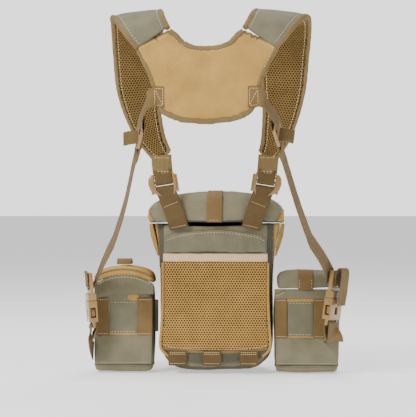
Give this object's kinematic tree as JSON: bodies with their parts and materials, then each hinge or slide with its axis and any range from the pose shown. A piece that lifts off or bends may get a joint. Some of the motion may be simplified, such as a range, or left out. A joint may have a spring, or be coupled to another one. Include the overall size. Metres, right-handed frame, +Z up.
{
  "type": "binocular harness pack",
  "caption": "Lidded chest pack for a binocular with two side pouches, hung from a padded shoulder yoke by adjustable webbing and side-release buckles.",
  "frame": {"origin": "middle of the padded panel that lies against the wearer's chest", "axes": "+Z up, +Y away from the wearer, +X to the right seen from behind the wearer"},
  "size_m": [0.3365, 0.3657, 0.4406],
  "materials": {
    "ripstop": "matt woven",
    "ripstop_pad": "matt woven, padded",
    "suede": "brushed microfibre",
    "webbing": "woven webbing",
    "webbing_dark": "woven webbing",
    "mesh": "open knitted mesh",
    "elastic": "ribbed elastic",
    "acetal": "moulded, satin",
    "zinc": "dull cast",
    "cord": "moulded cord pull"
  },
  "bodies": {
    "root": {"adjust_web_l": "webbing_dark", "adjust_web_r": "webbing_dark", "back_panel": "ripstop_pad", "bottom_band": "ripstop", "buckle_socket_l": "acetal", "buckle_socket_r": "acetal", "chest_web_l": "webbing_dark", "chest_web_r": "webbing_dark", "front_pocket": "ripstop", "lid_hinge_tape": "webbing", "mesh_band": "elastic", "mesh_pocket": "mesh", "pack_body": "ripstop", "pals_loop_1": "webbing_dark", "pals_loop_2": "webbing_dark", "pals_loop_3": "webbing_dark", "pouch_l_body": "ripstop", "pouch_l_panel": "ripstop", "pouch_l_tie": "ripstop", "pouch_l_web_1": "webbing", "pouch_l_web_2": "webbing", "pouch_r_body": "ripstop", "pouch_r_panel": "ripstop", "pouch_r_tie": "ripstop", "pouch_r_web_1": "webbing", "pouch_r_web_2": "webbing", "shoulder_strap_l": "ripstop_pad", "shoulder_strap_r": "ripstop_pad", "side_strap_l": "webbing", "side_strap_r": "webbing", "side_wing_l": "suede", "side_wing_r": "suede", "socket_tab_l": "webbing", "socket_tab_r": "webbing", "strap_keeper_l": "webbing", "strap_keeper_r": "webbing", "strap_sleeve_l": "webbing", "strap_sleeve_r": "webbing", "yoke_panel": "suede", "yoke_web_l": "webbing", "yoke_web_r": "webbing"},
    "main_lid": {"pack_lid": "ripstop", "lid_pull_tab": "webbing"},
    "pouch_l_lid_body": {"pouch_l_lid": "suede", "pouch_l_loop": "webbing"},
    "pouch_r_lid_body": {"pouch_r_lid": "ripstop", "pouch_r_lid_tab": "webbing"},
    "slider": {"zip_slider": "zinc"},
    "pull": {"zip_pull": "cord"},
    "plug_l": {"buckle_plug_l": "acetal"},
    "plug_r": {"buckle_plug_r": "acetal"},
    "prong_l1": {"buckle_prong_l1": "acetal"},
    "prong_l2": {"buckle_prong_l2": "acetal"},
    "prong_r1": {"buckle_prong_r1": "acetal"},
    "prong_r2": {"buckle_prong_r2": "acetal"},
    "chest_lock_l": {"chest_lock_l": "acetal"},
    "chest_lock_r": {"chest_lock_r": "acetal"},
    "yoke_lock_l": {"yoke_lock_l": "acetal"},
    "yoke_lock_r": {"yoke_lock_r": "acetal"}
  },
  "joints": [
    {"name": "main_lid_hinge", "type": "hinge", "parent": "root", "child": "main_lid", "pos_m": [0, 0.1145, 0.0976], "axis": [-1, 0, 0], "range_deg": [0, 105]},
    {"name": "pouch_l_lid_hinge", "type": "hinge", "parent": "root", "child": "pouch_l_lid_body", "pos_m": [-0.118, 0.0616, 0.0192], "axis": [-1, 0, 0], "range_deg": [0, 100], "deforming": ["side_wing_l"]},
    {"name": "pouch_r_lid_hinge", "type": "hinge", "parent": "root", "child": "pouch_r_lid_body", "pos_m": [0.116, 0.0622, 0.0138], "axis": [-1, 0, 0], "range_deg": [0, 100], "deforming": ["side_wing_r"]},
    {"name": "zip_slide", "type": "slide", "parent": "root", "child": "slider", "axis": [0, 1, 0], "range_m": [0, 0.026]},
    {"name": "zip_pull_swing", "type": "hinge", "parent": "slider", "child": "pull", "pos_m": [-0.1627, 0.0205, 0.0135], "axis": [0, 1, 0], "range_deg": [-1, 75]},
    {"name": "buckle_release_l", "type": "slide", "parent": "root", "child": "plug_l", "axis": [-0.0698, 0, 0.9976], "range_m": [0, 0.028], "deforming": ["side_strap_l"]},
    {"name": "buckle_release_r", "type": "slide", "parent": "root", "child": "plug_r", "axis": [0.1219, 0, 0.9925], "range_m": [0, 0.028], "deforming": ["side_strap_r"]},
    {"name": "prong_squeeze_l1", "type": "hinge", "parent": "plug_l", "child": "prong_l1", "pos_m": [-0.15428, -0.02373, -0.00095], "axis": [0.9678, 0.2425, 0.0677], "range_deg": [0, 8], "stiffness_Nm_per_rad": 0.3},
    {"name": "prong_squeeze_l2", "type": "hinge", "parent": "plug_l", "child": "prong_l2", "pos_m": [-0.15863, -0.00627, -0.00125], "axis": [-0.9678, -0.2425, -0.0677], "range_deg": [0, 8], "stiffness_Nm_per_rad": 0.3},
    {"name": "prong_squeeze_r1", "type": "hinge", "parent": "plug_r", "child": "prong_r1", "pos_m": [0.15323, -0.00685, 0.00244], "axis": [-0.8983, 0.4252, 0.1103], "range_deg": [0, 8], "stiffness_Nm_per_rad": 0.3},
    {"name": "prong_squeeze_r2", "type": "hinge", "parent": "plug_r", "child": "prong_r2", "pos_m": [0.14563, -0.02315, 0.00337], "axis": [0.8983, -0.4252, -0.1103], "range_deg": [0, 8], "stiffness_Nm_per_rad": 0.3},
    {"name": "chest_lock_tilt_l", "type": "hinge", "parent": "root", "child": "chest_lock_l", "pos_m": [-0.063, -0.011, 0.1415], "axis": [0.9877, 0, 0.1564], "range_deg": [0, 25], "deforming": ["chest_web_l", "adjust_web_l"]},
    {"name": "chest_lock_tilt_r", "type": "hinge", "parent": "root", "child": "chest_lock_r", "pos_m": [0.063, -0.011, 0.1415], "axis": [0.9877, 0, -0.1564], "range_deg": [0, 25], "deforming": ["chest_web_r", "adjust_web_r"]},
    {"name": "yoke_lock_tilt_l", "type": "hinge", "parent": "root", "child": "yoke_lock_l", "pos_m": [-0.07569, -0.20172, 0.20883], "axis": [0.0886, -0.7486, -0.6571], "range_deg": [0, 20], "deforming": ["yoke_web_l"]},
    {"name": "yoke_lock_tilt_r", "type": "hinge", "parent": "root", "child": "yoke_lock_r", "pos_m": [0.07719, -0.20172, 0.21083], "axis": [0.0886, 0.7486, 0.6571], "range_deg": [0, 20], "deforming": ["yoke_web_r"]}
  ],
  "couplings": [
    {"joint": "prong_squeeze_l2", "follows": "prong_squeeze_l1", "ratio": 1},
    {"joint": "prong_squeeze_r2", "follows": "prong_squeeze_r1", "ratio": 1}
  ]
}
